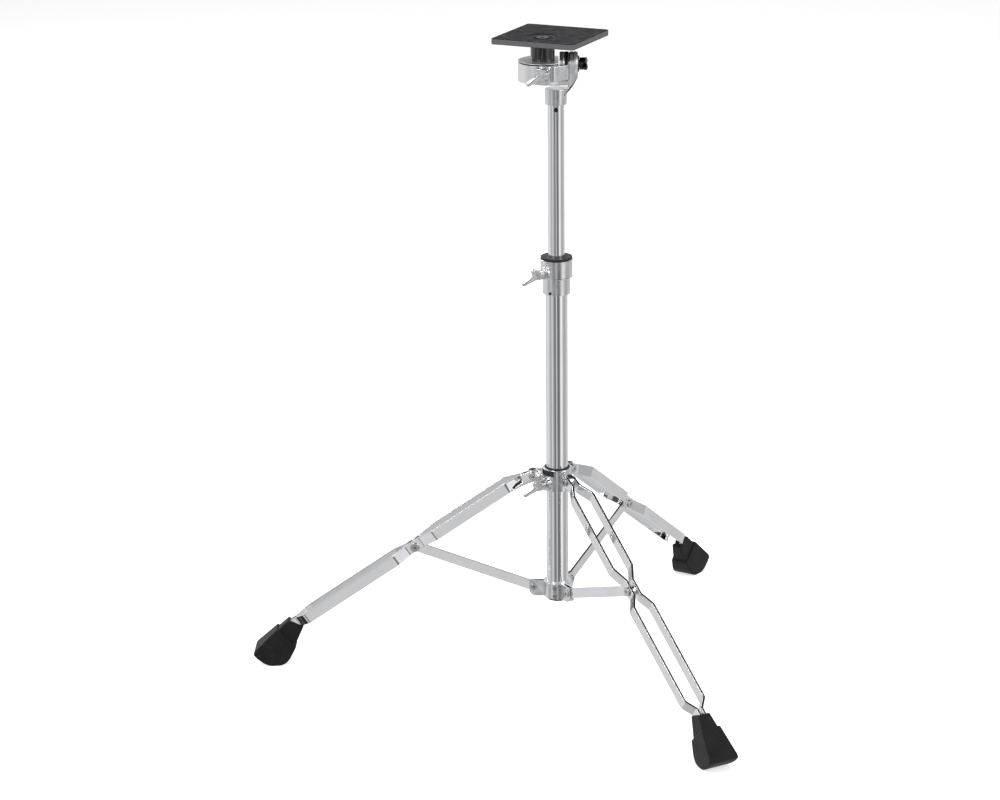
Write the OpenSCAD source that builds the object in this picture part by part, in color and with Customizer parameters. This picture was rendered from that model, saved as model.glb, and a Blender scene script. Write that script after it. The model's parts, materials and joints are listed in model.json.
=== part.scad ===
// Folding chrome tripod stand with a square mounting plate on a tilting clamp.
// Millimetres, +Z up; -Y is the front. The origin is on the floor, under the middle of the
// stand's outline. The modules draw about the mast axis, and on_mast() moves it to its place.
// Each leg is drawn along +X in its own plane and then turned about the mast.

/* [Plate] */
// Side of the square mounting plate
plate_w = 100; // [90:1:110]
// Thickness of the mounting plate
plate_t = 6.5; // [6:0.5:8]
// Height of the plate's top face above the floor
plate_top_z = 749.5; // [747:0.5:756]
// Turn of the plate on its post
plate_turn = -24; // [-45:1:45]
// Side of the square of pad screw holes
hole_pitch = 70; // [60:1:72]
// Diameter of the pad screw holes
hole_d = 5.3; // [4:0.1:6]
// Diameter of the post under the plate
post_d = 27; // [24:1:28]

/* [Tilter] */
// Sideways place of the post axis
post_x = -14.5; // [-16:0.5:-14]
// Front-to-back place of the post axis
post_y = -10; // [-12:1:-8]
// Outside radius of the clamp block
block_r = 27.5; // [26:0.5:28]
// Height of the tilt axis above the floor
tilt_z = 716.5; // [715.5:0.5:717.5]
// Radius of the ratchet discs
disc_r = 13.2; // [12:0.1:14]

/* [Mast] */
// Sideways distance of the mast axis from the origin
mast_x = 82; // [80:0.5:84]
// Outside diameter of the lower tube
lower_d = 25.4; // [24:0.1:26]
// Outside diameter of the upper tube
upper_d = 19.1; // [18:0.1:19.5]
// Wall of both tubes
tube_wall = 1.2; // [1:0.1:1.4]
// Height of the lower tube's bottom end
mast_bottom_z = 82; // [80:0.5:82]
// Height of the top face of the height clamp
clamp_top_z = 493.5; // [484:0.5:503]

/* [Legs] */
// Turn of the leg set about the mast
leg_turn = 180; // [0:1:360]
// Distance of every pivot pin from the mast axis
hinge_r = 28; // [27:0.5:30]
// Height of the leg hinges
hinge_z = 233.5; // [230:0.5:235]
// Distance of the knee from the mast axis
knee_r = 58; // [56:1:60]
// Height of the knee
knee_z = 221.7; // [220:0.1:223]
// Slope of the straight run of each leg
leg_slope = 34.4; // [33.5:0.1:35]
// Width of the flat leg strips
strip_h = 13; // [12:0.5:14]
// Thickness of the leg strips
strip_t = 2.8; // [2.4:0.1:3]
// Half the spread of a pair of strips in its open loops
loop_w = 12.4; // [10:0.1:13]
// Distance of the brace joint from the mast axis
pinch_r = 166.6; // [165:0.2:168]
// Depth of the brace joint below the middle of the strips
joint_drop = 1.5; // [0:0.1:2]

/* [Braces] */
// Height of the lower brace pins
brace_z = 95.5; // [93:0.5:96]
// Width of the brace bars
brace_h = 12; // [10:0.5:13]
// Thickness of the brace bars
brace_t = 2.8; // [2.4:0.1:3]

/* [Hidden] */

$fn = 64;
// Running clearance on a radius, and the gap between faces that slide past each other
fit = 0.05;
gap = 0.1;
// Directions of the legs a, b and c
az_a = leg_turn;
az_b = leg_turn - 120;
az_c = leg_turn + 120;
// Direction of the screws in the height clamp and the collar
screw_az = leg_turn + 45;

lower_r = lower_d / 2;
upper_r = upper_d / 2;
clamp_h = 21;
clamp_r = 18.3;
clamp_screw_z = clamp_top_z - 14.5;
sleeve_r = 15.6;
sleeve_h = 20;
cap_h = 2.6;
insert_h = 60;
// The upper tube reaches from inside the lower tube to inside the tilter's sleeve
tube_top_z = tilt_z - 33;
tube_foot_z = tube_top_z - 425;

socket_r = 12.3;
socket_bottom_z = tilt_z - 45.3;
socket_top_z = tilt_z - 27.4;
// Sideways places of the block's flat side, the joint between the discs and the outer face
block_flat_x = 3;
disc_in_x = 4;
disc_mid_x = 14.5;
disc_out_x = 24.5;
block_top_z = tilt_z + 6.5;
block_bottom_z = tilt_z - 16.5;
rim_h = 1.5;
rim_depth = 2.3;
cradle_t = 5.5;
cradle_end_x = -22;
cradle_half = 14;
// The clamp screw runs through a lug at the block's front right corner
lug_x = 5;
lug_y = -23;
lug_az = 225;
post_screw_z = tilt_z - 4.5;
plate_bottom_z = plate_top_z - plate_t;
bolt_r = 3.9;
screw_r = 3;

wing_t = 3.6;
wing_reach = 18;

collar_r = 17;
collar_top_z = hinge_z + 10;
collar_bottom_z = hinge_z - 16;
collar_screw_z = hinge_z - 7;
pin_r = 3;
brace_pin_r = 2.5;
head_r = 5;
head_t = 1.8;
band_r = 16.4;
band_top_z = brace_z + 7.5;
band_bottom_z = brace_z - 11.5;
ear_t = 2;
ear_r = 8;

// Turn of each wing screw on its axis when it is tight
screw_turn = 50;

// Half spread of the strips at the hinge and the brace joint, and in the boot
pinch_w = strip_t / 2 + 2.8;
boot_w = strip_t / 2 + 1.8;
eye_t = 2 * (pinch_w - strip_t / 2 - gap);
leg_end_r = 326;

function leg_z(r) = knee_z - (r - knee_r) * tan(leg_slope);
joint_z = leg_z(pinch_r) - joint_drop;

// Side view of a leg, from its hinge to its end in the boot
leg_line = [[hinge_r, hinge_z], [knee_r, knee_z], [leg_end_r, leg_z(leg_end_r)]];
// One strip seen square to the slope: distance down the slope from the hinge, and distance
// from the leg's middle plane. The bends are square to the slope.
joint_u = (pinch_r - hinge_r) * cos(leg_slope) + (hinge_z - joint_z) * sin(leg_slope);
strip_line = [[-9, pinch_w], [14, pinch_w], [31.5, loop_w], [joint_u - 29, loop_w],
    [joint_u - 10.5, pinch_w], [joint_u + 10, pinch_w], [joint_u + 26, loop_w], [319, loop_w],
    [331, boot_w], [380, boot_w]];
// Side view of a boot, with its flat sole on the floor
boot_side = [[297.5, 47], [311, 18], [316, 8.5], [321, 2.6], [327, 0], [340, 0], [347.5, 3.6],
    [355, 9.6], [359.5, 15], [358, 19], [318.5, 56.5]];

// Unit normal to the left of the step from p to q
function left_of(p, q) = [p.y - q.y, q.x - p.x] / norm(q - p);

// Offset of point i of a line, mitred at its inner points
function side_step(line, i) =
    i == 0 ? left_of(line[0], line[1])
    : i == len(line) - 1 ? left_of(line[i - 1], line[i])
    : let (m = left_of(line[i - 1], line[i]), n = left_of(line[i], line[i + 1]))
        (m + n) / (1 + m * n);

// Band of an even width along a line
module band(line, width) {
    last = len(line) - 1;
    polygon(concat(
        [for (i = [0:last]) line[i] + side_step(line, i) * width / 2],
        [for (i = [last:-1:0]) line[i] - side_step(line, i) * width / 2]));
}

// Outline that joins two circles with straight sides along x
module link(x1, r1, x2, r2) {
    slope = asin((r1 - r2) / (x2 - x1));
    translate([x1, 0]) circle(r = r1);
    translate([x2, 0]) circle(r = r2);
    polygon([[x1 + r1 * sin(slope), r1 * cos(slope)], [x2 + r2 * sin(slope), r2 * cos(slope)],
        [x2 + r2 * sin(slope), -r2 * cos(slope)], [x1 + r1 * sin(slope), -r1 * cos(slope)]]);
}

// Places what is drawn about the mast axis
module on_mast() {
    translate([mast_x, 0, 0]) children();
}

// A side view, drawn in x and z, made solid from y = w1 to y = w2
module side_solid(w1, w2) {
    translate([0, w2, 0]) rotate([90, 0, 0]) linear_extrude(w2 - w1) children();
}

// Round bar across a leg's plane, at distance r and height z
module cross_bar(r, z, radius, w1, w2) {
    translate([r, w1, z]) rotate([-90, 0, 0]) cylinder(r = radius, h = w2 - w1);
}

// Round bar along +X from x1 to x2
module x_bar(radius, x1, x2) {
    translate([x1, 0, 0]) rotate([0, 90, 0]) cylinder(r = radius, h = x2 - x1);
}

module tube(outer, inner, z1, z2) {
    translate([0, 0, z1]) difference() {
        cylinder(r = outer, h = z2 - z1);
        translate([0, 0, -1]) cylinder(r = inner, h = z2 - z1 + 2);
    }
}

// Wing screw along +X: its stud starts at x = 0 and its head at x = reach
module wing_screw(reach) {
    x_bar(screw_r, 0, reach + 1);
    translate([reach, 0, 0]) {
        x_bar(5.5, 0, 9);
        for (side = [0, 180]) rotate([side, 0, 0])
            translate([6, 0, -wing_t / 2]) rotate([0, 0, 36]) linear_extrude(wing_t)
                link(0, 4.6, wing_reach, 3);
    }
}

// Mast

module lower_tube() {
    color("#c9ccd0") on_mast() difference() {
        tube(lower_r, lower_r - tube_wall, mast_bottom_z, clamp_top_z - 1);
        translate([0, 0, clamp_screw_z]) rotate([0, 0, screw_az]) x_bar(screw_r + 0.4, 5, lower_r + 5);
    }
}

module tube_end_cap() {
    color("#26272a") on_mast() translate([0, 0, mast_bottom_z - 1.5]) {
        cylinder(r = lower_r - 0.3, h = 1.5);
        cylinder(r = lower_r - tube_wall, h = 10);
    }
}

module height_clamp() {
    bottom = clamp_top_z - clamp_h;
    color("#c9ccd0") on_mast() difference() {
        union() {
            translate([0, 0, bottom]) cylinder(r = clamp_r, h = clamp_h);
            translate([0, 0, bottom - sleeve_h]) cylinder(r = sleeve_r, h = sleeve_h);
            translate([0, 0, clamp_screw_z]) rotate([0, 0, screw_az]) x_bar(7, 5, 20);
        }
        translate([0, 0, bottom - sleeve_h - 1]) cylinder(r = lower_r, h = clamp_h + sleeve_h + 2);
        translate([0, 0, clamp_screw_z]) rotate([0, 0, screw_az]) x_bar(screw_r + fit, 5, 30);
        translate([0, 0, bottom - 17]) rotate([0, 0, screw_az + 17]) x_bar(1.8, lower_r, 20);
    }
}

module clamp_bushing() {
    top = clamp_top_z + cap_h;
    color("#222326") on_mast() difference() {
        union() {
            translate([0, 0, clamp_top_z]) cylinder(r = clamp_r - 0.2, h = cap_h);
            translate([0, 0, clamp_top_z - insert_h])
                cylinder(r = lower_r - tube_wall, h = insert_h + 1);
        }
        translate([0, 0, clamp_top_z - 1]) difference() {
            cylinder(r = lower_r, h = 1);
            cylinder(r = lower_r - tube_wall, h = 1);
        }
        translate([0, 0, top - insert_h - 5]) cylinder(r = upper_r + fit, h = insert_h + 6);
        translate([0, 0, clamp_screw_z]) rotate([0, 0, screw_az]) x_bar(screw_r + 0.4, 5, lower_r + 5);
    }
}

module clamp_nut() {
    color("#b5b8bd") on_mast() translate([0, 0, clamp_screw_z]) rotate([0, 0, screw_az])
        translate([20, 0, 0]) rotate([0, 90, 0]) difference() {
            cylinder(r = 6.4, h = 3.4, $fn = 6);
            translate([0, 0, -1]) cylinder(r = screw_r + fit, h = 6);
        }
}

module height_wing() {
    color("#c9ccd0") on_mast() translate([0, 0, clamp_screw_z]) rotate([0, 0, screw_az])
        translate([upper_r + 0.6, 0, 0]) rotate([screw_turn, 0, 0]) wing_screw(13.5);
}

// Lower bracket of the braces

// One ear from the side: square at its top and rounded under its outer end
module ear_outline() {
    inner = lower_r + 1;
    outer = hinge_r + 5;
    translate([inner, band_bottom_z]) square([outer - ear_r - inner, band_top_z - band_bottom_z]);
    translate([inner, band_bottom_z + ear_r]) square([outer - inner, band_top_z - band_bottom_z - ear_r]);
    translate([outer - ear_r, band_bottom_z + ear_r]) circle(r = ear_r);
}

module brace_bracket() {
    color("#c9ccd0") on_mast() difference() {
        union() {
            tube(band_r, lower_r, band_bottom_z, band_top_z);
            for (az = [az_a, az_b, az_c], side = [-1, 1]) rotate([0, 0, az])
                side_solid(side * (brace_t / 2 + gap + ear_t / 2) - ear_t / 2,
                    side * (brace_t / 2 + gap + ear_t / 2) + ear_t / 2)
                    ear_outline();
        }
        for (az = [az_a, az_b, az_c]) rotate([0, 0, az])
            cross_bar(hinge_r, brace_z, brace_pin_r, -9, 9);
        for (z = [-7, 3]) translate([0, 0, brace_z + z]) rotate([0, 0, az_c - 40])
            x_bar(1.6, lower_r - 1, 20);
    }
}

module bracket_pins() {
    reach = brace_t / 2 + gap + ear_t;
    color("#b5b8bd") on_mast() for (az = [az_a, az_b, az_c]) rotate([0, 0, az]) {
        cross_bar(hinge_r, brace_z, brace_pin_r, -reach, reach);
        cross_bar(hinge_r, brace_z, 4.2, reach, reach + 1.6);
        cross_bar(hinge_r, brace_z, 4.2, -reach - 1.6, -reach);
    }
}

module bracket_screws() {
    color("#b5b8bd") on_mast() for (z = [-7, 3]) translate([0, 0, brace_z + z])
        rotate([0, 0, az_c - 40]) {
            x_bar(1.6, lower_r, band_r + 0.2);
            difference() {
                x_bar(2.8, band_r, band_r + 1.5);
                translate([band_r + 0.9, -0.4, -3]) cube([1, 0.8, 6]);
            }
        }
}

// Upper tube

module upper_tube() {
    color("#c9ccd0") on_mast() difference() {
        tube(upper_r, upper_r - tube_wall, tube_foot_z, tube_top_z);
        translate([0, 0, socket_bottom_z - 5]) rotate([0, 0, -90]) x_bar(1.5, 5, 12);
    }
}

module tube_guide() {
    color("#222326") on_mast() translate([0, 0, tube_foot_z - 12]) {
        cylinder(r = lower_r - tube_wall - fit, h = 12);
        cylinder(r = upper_r - tube_wall, h = 24);
    }
}

module stop_screw() {
    color("#3a3b3e") on_mast() translate([0, 0, socket_bottom_z - 5]) rotate([0, 0, -90]) {
        x_bar(1.5, upper_r - tube_wall, upper_r + 0.3);
        x_bar(2.6, upper_r, upper_r + 1.1);
    }
}

// Tilter

// The sleeve on the upper tube, and the upright with the outer ratchet disc
module tilter_base() {
    color("#c9ccd0") on_mast() difference() {
        union() {
            translate([0, 0, socket_bottom_z])
                cylinder(r = socket_r, h = socket_top_z - socket_bottom_z);
            side_solid(-9, 9) polygon([[0, socket_top_z - 8], [0, socket_top_z],
                [disc_mid_x, socket_top_z], [disc_mid_x, tilt_z], [disc_out_x, tilt_z],
                [disc_out_x, tilt_z - 14], [19, tilt_z - 24], [9, socket_top_z - 8]]);
            translate([0, 0, tilt_z]) x_bar(disc_r, disc_mid_x, disc_out_x);
        }
        translate([0, 0, socket_bottom_z - 1])
            cylinder(r = upper_r + fit, h = tube_top_z - socket_bottom_z + 1);
        translate([0, 0, tilt_z]) x_bar(bolt_r, disc_mid_x - 1, disc_out_x + 1);
    }
}

module tilt_bolt() {
    color("#b5b8bd") on_mast() translate([0, 0, tilt_z]) {
        x_bar(bolt_r, disc_in_x + 4, disc_out_x + 9);
        translate([disc_in_x + 0.2, 0, 0]) rotate([0, 90, 0]) cylinder(r = 7, h = 3.8);
    }
}

module tilt_washer() {
    color("#26272a") on_mast() translate([0, 0, tilt_z]) difference() {
        x_bar(9, disc_out_x, disc_out_x + 1.5);
        x_bar(bolt_r, disc_out_x - 1, disc_out_x + 3);
    }
}

module tilt_wing() {
    wing_x = disc_out_x + 1.5;
    color("#2b2c2f") on_mast() translate([wing_x, 0, tilt_z]) difference() {
        union() {
            x_bar(7, gap, 8);
            for (side = [0, 180]) rotate([side + 14, 0, 0])
                translate([4, 0, -1.8]) rotate([0, 0, 75]) linear_extrude(3.6)
                    link(0, 3.6, 11.5, 2.6);
        }
        x_bar(bolt_r + fit, -1, 7.6);
    }
}

// The inner ratchet disc and the shelf that carries the clamp block
module tilt_cradle() {
    shelf_z = block_bottom_z - cradle_t;
    inner_x = disc_mid_x - gap;
    color("#c9ccd0") on_mast() difference() {
        union() {
            translate([0, 0, tilt_z]) x_bar(disc_r, disc_in_x, inner_x);
            translate([disc_in_x, -9, shelf_z]) cube([inner_x - disc_in_x, 18, tilt_z - shelf_z]);
            difference() {
                translate([0, 0, post_screw_z - 8.5]) linear_extrude(17) union() {
                    translate([lug_x, lug_y]) rotate(lug_az) link(0, 9, 13, 7);
                    translate([disc_in_x, lug_y]) square([lug_x + 9 - disc_in_x, -lug_y]);
                }
                translate([post_x, post_y, 0]) cylinder(r = block_r + gap, h = 1000);
                translate([block_flat_x - 30, -12, 0]) cube([30 + disc_in_x - block_flat_x, 30, 1000]);
            }
            translate([0, 0, shelf_z]) linear_extrude(cradle_t) intersection() {
                translate([cradle_end_x, -cradle_half])
                    square([inner_x - cradle_end_x, 2 * cradle_half]);
                union() {
                    translate([cradle_end_x + 20, 0]) circle(r = 20);
                    translate([cradle_end_x + 20, -cradle_half])
                        square([inner_x - cradle_end_x - 20, 2 * cradle_half]);
                }
            }
        }
        translate([0, 0, tilt_z]) {
            x_bar(bolt_r + fit, disc_in_x - 1, inner_x + 1);
            x_bar(7 + fit, disc_in_x - 1, disc_in_x + 4 + fit);
        }
        translate([lug_x, lug_y, post_screw_z]) rotate([0, 0, lug_az]) x_bar(screw_r + fit, 2, 40);
    }
}

// Plan of the dark band let into the clamp block, near its top
module rim_plan(radius) {
    difference() {
        block_plan(radius);
        block_plan(block_r - 3);
    }
}

// Plan of the clamp block: a round block with a flat on the tilter's side
module block_plan(radius) {
    difference() {
        translate([post_x, post_y]) circle(r = radius);
        translate([block_flat_x, -60]) square([60, 120]);
    }
}

module clamp_block() {
    color("#d3d4d6") on_mast() difference() {
        translate([0, 0, block_bottom_z])
            linear_extrude(block_top_z - block_bottom_z) block_plan(block_r);
        translate([0, 0, block_top_z - rim_depth]) linear_extrude(rim_h) rim_plan(block_r + 1);
        translate([post_x, post_y, block_bottom_z + 3]) cylinder(r = post_d / 2 + fit, h = 40);
        translate([lug_x, lug_y, post_screw_z]) rotate([0, 0, lug_az]) {
            x_bar(screw_r + 0.4, 0, 30);
            x_bar(7, 20, 45);
        }
    }
}

module block_rim() {
    color("#2b2c2f") on_mast() translate([0, 0, block_top_z - rim_depth])
        linear_extrude(rim_h) rim_plan(block_r - 0.2);
}

module post_wing() {
    color("#c9ccd0") on_mast() translate([lug_x, lug_y, post_screw_z]) rotate([0, 0, lug_az])
        translate([3, 0, 0]) rotate([screw_turn, 0, 0]) wing_screw(18.5);
}

// Post and plate

module post() {
    bottom = block_bottom_z + 3.2;
    color("#1b1c1e") on_mast() translate([post_x, post_y, 0]) difference() {
        translate([0, 0, bottom]) cylinder(r = post_d / 2, h = plate_bottom_z - bottom);
        translate([0, 0, bottom + 5]) cylinder(r = 4.2, h = plate_bottom_z);
    }
}

module plate() {
    corner = 4;
    // The post stands off the plate's centre, along the plate's own axes
    offset_x = 3;
    offset_y = 14;
    recess_z = plate_bottom_z + 2.5;
    color("#232427") on_mast() translate([post_x, post_y, 0]) rotate([0, 0, plate_turn]) difference() {
        translate([offset_x - plate_w / 2, offset_y - plate_w / 2, plate_bottom_z])
            linear_extrude(plate_t) union() {
                translate([corner, 0]) square([plate_w - 2 * corner, plate_w]);
                translate([0, corner]) square([plate_w, plate_w - 2 * corner]);
                for (x = [corner, plate_w - corner], y = [corner, plate_w - corner])
                    translate([x, y]) circle(r = corner);
            }
        translate([0, 0, plate_top_z - 1]) cylinder(r = 18.5, h = 5);
        translate([0, 0, recess_z]) cylinder(r = 13.5, h = 10);
        translate([0, 0, plate_bottom_z - 1]) cylinder(r = 4.2, h = 10);
        for (x = [-1, 1], y = [-1, 1])
            translate([offset_x + x * hole_pitch / 2, offset_y + y * hole_pitch / 2, plate_bottom_z - 1])
                cylinder(r = hole_d / 2, h = plate_t + 2);
    }
}

module post_bolt() {
    head_z = plate_bottom_z + 2.5;
    color("#3a3b3e") on_mast() translate([post_x, post_y, 0]) difference() {
        union() {
            translate([0, 0, head_z - 18]) cylinder(r = 4, h = 18.5);
            translate([0, 0, head_z]) cylinder(r = 7, h = 2.6);
        }
        translate([0, 0, head_z + 0.6]) cylinder(r = 3, h = 3, $fn = 6);
    }
}

// Leg collar

module leg_collar() {
    lug_half = pinch_w - strip_t / 2 - gap;
    color("#c9ccd0") on_mast() difference() {
        union() {
            translate([0, 0, collar_bottom_z]) cylinder(r = collar_r, h = collar_top_z - collar_bottom_z);
            for (az = [az_a, az_b, az_c]) rotate([0, 0, az])
                side_solid(-lug_half, lug_half)
                    translate([hinge_r, hinge_z]) link(-14, 9, 0, 7);
            rotate([0, 0, screw_az]) translate([0, 0, collar_screw_z]) x_bar(7.5, 5, 21);
        }
        translate([0, 0, collar_bottom_z - 1]) cylinder(r = lower_r + 1.2, h = 40);
        for (az = [az_a, az_b, az_c]) rotate([0, 0, az])
            cross_bar(hinge_r, hinge_z, pin_r, -9, 9);
        rotate([0, 0, screw_az]) translate([0, 0, collar_screw_z]) x_bar(screw_r + fit, 5, 30);
    }
}

module collar_bushing() {
    color("#222326") on_mast() difference() {
        tube(lower_r + 1.2, lower_r + fit, collar_bottom_z, collar_top_z);
        rotate([0, 0, screw_az]) translate([0, 0, collar_screw_z]) x_bar(screw_r + 0.4, 5, 30);
    }
}

module hinge_pins() {
    reach = pinch_w + strip_t / 2 + gap;
    color("#b5b8bd") on_mast() for (az = [az_a, az_b, az_c]) rotate([0, 0, az]) {
        cross_bar(hinge_r, hinge_z, pin_r, -reach, reach);
        cross_bar(hinge_r, hinge_z, head_r, reach, reach + head_t);
        cross_bar(hinge_r, hinge_z, head_r, -reach - head_t, -reach);
    }
}

module collar_wing() {
    color("#c9ccd0") on_mast() rotate([0, 0, screw_az]) translate([lower_r + 0.1, 0, collar_screw_z])
        rotate([screw_turn, 0, 0]) wing_screw(11);
}

// Legs

// Outline of a strip, or of the space for both strips, drawn square to the slope
module down_slope() {
    translate([hinge_r, 0, hinge_z]) rotate([0, leg_slope, 0]) translate([0, 0, -60])
        linear_extrude(120) children();
}

// One strip of a leg; side is -1 or 1
module strip(az, side) {
    color("#c9ccd0") on_mast() rotate([0, 0, az]) difference() {
        intersection() {
            union() {
                cross_bar(hinge_r, hinge_z, strip_h / 2, -20, 20);
                side_solid(-20, 20) band(leg_line, strip_h);
            }
            mirror([0, side < 0 ? 1 : 0, 0]) down_slope() band(strip_line, strip_t);
        }
        cross_bar(hinge_r, hinge_z, pin_r + fit, -9, 9);
        cross_bar(pinch_r, joint_z, pin_r, -9, 9);
    }
}

// The two halves of the brace rivet, one in each strip
module rivets(az) {
    inner = pinch_w - strip_t / 2;
    outer = pinch_w + strip_t / 2;
    color("#b5b8bd") on_mast() rotate([0, 0, az]) for (side = [0, 1]) mirror([0, side, 0]) {
        cross_bar(pinch_r, joint_z, pin_r, inner, outer);
        cross_bar(pinch_r, joint_z, head_r + 0.4, outer, outer + head_t);
    }
}

// Rubber boot: narrow at its mouth and wide at its toe
module boot(az) {
    mouth = 9;
    toe = 19;
    slot = [for (i = [7:9]) strip_line[i] + side_step(strip_line, i) * strip_t / 2];
    color("#1d1e20") on_mast() rotate([0, 0, az]) difference() {
        intersection() {
            side_solid(-30, 30) polygon(boot_side);
            translate([318.5, 0, 56.5]) rotate([0, 35, 0]) translate([0, 0, -80]) linear_extrude(160)
                polygon([[-30, -mouth], [0, -mouth], [60, -toe], [80, -toe],
                    [80, toe], [60, toe], [0, mouth], [-30, mouth]]);
        }
        intersection() {
            side_solid(-20, 20) band([leg_line[1], leg_line[2]], strip_h);
            down_slope() polygon(concat(slot, [for (i = [2:-1:0]) [slot[i].x, -slot[i].y]]));
        }
    }
}

// Brace bar from the lower bracket to the eye between a leg's strips
module brace(az) {
    rise = joint_z - brace_z;
    run = pinch_r - hinge_r;
    reach = norm([run, rise]);
    color("#c9ccd0") on_mast() rotate([0, 0, az]) difference() {
        union() {
            side_solid(-brace_t / 2, brace_t / 2) translate([hinge_r, brace_z])
                rotate(atan2(rise, run)) link(0, brace_h / 2, reach, brace_h / 2);
            cross_bar(pinch_r, joint_z, head_r + 0.5, -eye_t / 2, eye_t / 2);
        }
        cross_bar(hinge_r, brace_z, brace_pin_r + fit, -9, 9);
    }
}

lower_tube();
tube_end_cap();
height_clamp();
clamp_bushing();
clamp_nut();
brace_bracket();
bracket_pins();
bracket_screws();
height_wing();
upper_tube();
tube_guide();
stop_screw();
tilter_base();
tilt_bolt();
tilt_washer();
tilt_wing();
tilt_cradle();
clamp_block();
block_rim();
post_wing();
post();
plate();
post_bolt();
leg_collar();
collar_bushing();
hinge_pins();
collar_wing();
strip(az_a, 1);  // strip_a_front
strip(az_a, -1);  // strip_a_back
strip(az_b, -1);  // strip_b_front
strip(az_b, 1);  // strip_b_back
strip(az_c, -1);  // strip_c_front
strip(az_c, 1);  // strip_c_back
rivets(az_a);  // rivets_a
rivets(az_b);  // rivets_b
rivets(az_c);  // rivets_c
boot(az_a);  // boot_a
boot(az_b);  // boot_b
boot(az_c);  // boot_c
brace(az_a);  // brace_a
brace(az_b);  // brace_b
brace(az_c);  // brace_c
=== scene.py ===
import json
import math

import bmesh
import bpy
from mathutils import Matrix, Vector


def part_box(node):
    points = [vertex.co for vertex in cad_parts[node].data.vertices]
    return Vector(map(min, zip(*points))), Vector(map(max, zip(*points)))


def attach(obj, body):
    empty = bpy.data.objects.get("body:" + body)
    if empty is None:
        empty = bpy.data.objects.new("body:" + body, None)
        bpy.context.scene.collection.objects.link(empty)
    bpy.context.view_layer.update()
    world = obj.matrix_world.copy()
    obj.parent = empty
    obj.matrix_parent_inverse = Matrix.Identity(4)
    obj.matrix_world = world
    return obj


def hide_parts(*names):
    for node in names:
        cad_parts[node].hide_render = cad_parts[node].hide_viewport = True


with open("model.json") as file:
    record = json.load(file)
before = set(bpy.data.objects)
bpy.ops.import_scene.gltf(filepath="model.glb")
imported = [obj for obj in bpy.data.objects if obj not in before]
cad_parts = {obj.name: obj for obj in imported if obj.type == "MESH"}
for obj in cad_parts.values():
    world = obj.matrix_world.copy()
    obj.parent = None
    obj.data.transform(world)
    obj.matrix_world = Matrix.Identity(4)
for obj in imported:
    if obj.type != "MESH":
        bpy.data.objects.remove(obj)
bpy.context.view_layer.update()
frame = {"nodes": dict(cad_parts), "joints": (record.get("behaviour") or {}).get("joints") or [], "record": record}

NODES = frame["nodes"]
BODY_OF = {n: b for b, members in frame["record"]["behaviour"]["bodies"].items() for n in members}
JOINTS = {j["name"]: j for j in frame["joints"]}
MM = 0.001


# ---------------------------------------------------------------- materials

class Shader:
    """A node material with short calls for the nodes that the finishes below share."""

    def __init__(self, name):
        self.material = bpy.data.materials.new(name)
        self.material.use_nodes = True
        self.nodes = self.material.node_tree.nodes
        self.links = self.material.node_tree.links
        self.bsdf = self.nodes["Principled BSDF"]
        self.coords = self.nodes.new("ShaderNodeTexCoord").outputs["Object"]

    def set(self, **values):
        for socket, value in values.items():
            self.bsdf.inputs[socket.replace("_", " ")].default_value = value
        return self

    def noise(self, scale, detail=3.0, stretch=(1, 1, 1), rough=0.5):
        """Noise texture in object space; stretch squeezes it along the axes."""
        mapping = self.nodes.new("ShaderNodeMapping")
        mapping.inputs["Scale"].default_value = stretch
        self.links.new(self.coords, mapping.inputs["Vector"])
        tex = self.nodes.new("ShaderNodeTexNoise")
        tex.inputs["Scale"].default_value = scale
        tex.inputs["Detail"].default_value = detail
        tex.inputs["Roughness"].default_value = rough
        self.links.new(mapping.outputs["Vector"], tex.inputs["Vector"])
        return tex.outputs["Fac"]

    def span(self, fac, low, high, start=0.3, end=0.7):
        """Maps a factor to a range of values."""
        node = self.nodes.new("ShaderNodeMapRange")
        node.inputs["From Min"].default_value = start
        node.inputs["From Max"].default_value = end
        node.inputs["To Min"].default_value = low
        node.inputs["To Max"].default_value = high
        self.links.new(fac, node.inputs["Value"])
        return node.outputs["Result"]

    def steepness(self):
        """One on upright faces of the object, zero on its level ones."""
        split = self.nodes.new("ShaderNodeSeparateXYZ")
        self.links.new(self.nodes.new("ShaderNodeTexCoord").outputs["Normal"], split.inputs["Vector"])
        size = self.nodes.new("ShaderNodeMath")
        size.operation = "ABSOLUTE"
        self.links.new(split.outputs["Z"], size.inputs[0])
        return self.span(size.outputs[0], 1, 0, 0.25, 0.75)

    def ramp(self, fac, *stops):
        """Colour ramp; each stop is (place, colour)."""
        node = self.nodes.new("ShaderNodeValToRGB")
        elements = node.color_ramp.elements
        while len(elements) < len(stops):
            elements.new(0.5)
        for element, (place, colour) in zip(elements, stops):
            element.position = place
            element.color = (*colour, 1)
        self.links.new(fac, node.inputs["Fac"])
        return node.outputs["Color"]

    def mix(self, fac, a, b):
        """Mix of two colours, each an output or a constant."""
        node = self.nodes.new("ShaderNodeMix")
        node.data_type = "RGBA"
        self.links.new(fac, node.inputs["Factor"])
        for value, socket in ((a, node.inputs[6]), (b, node.inputs[7])):
            if isinstance(value, tuple):
                socket.default_value = (*value, 1)
            else:
                self.links.new(value, socket)
        return node.outputs[2]

    def bump(self, height, distance, strength, after=None):
        """Bump of a real depth in metres; after chains it onto another bump."""
        node = self.nodes.new("ShaderNodeBump")
        node.inputs["Strength"].default_value = strength
        node.inputs["Distance"].default_value = distance
        self.links.new(height, node.inputs["Height"])
        if after is not None:
            self.links.new(after, node.inputs["Normal"])
        self.links.new(node.outputs["Normal"], self.bsdf.inputs["Normal"])
        return node.outputs["Normal"]

    def wire(self, output, socket):
        self.links.new(output, self.bsdf.inputs[socket])


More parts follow.
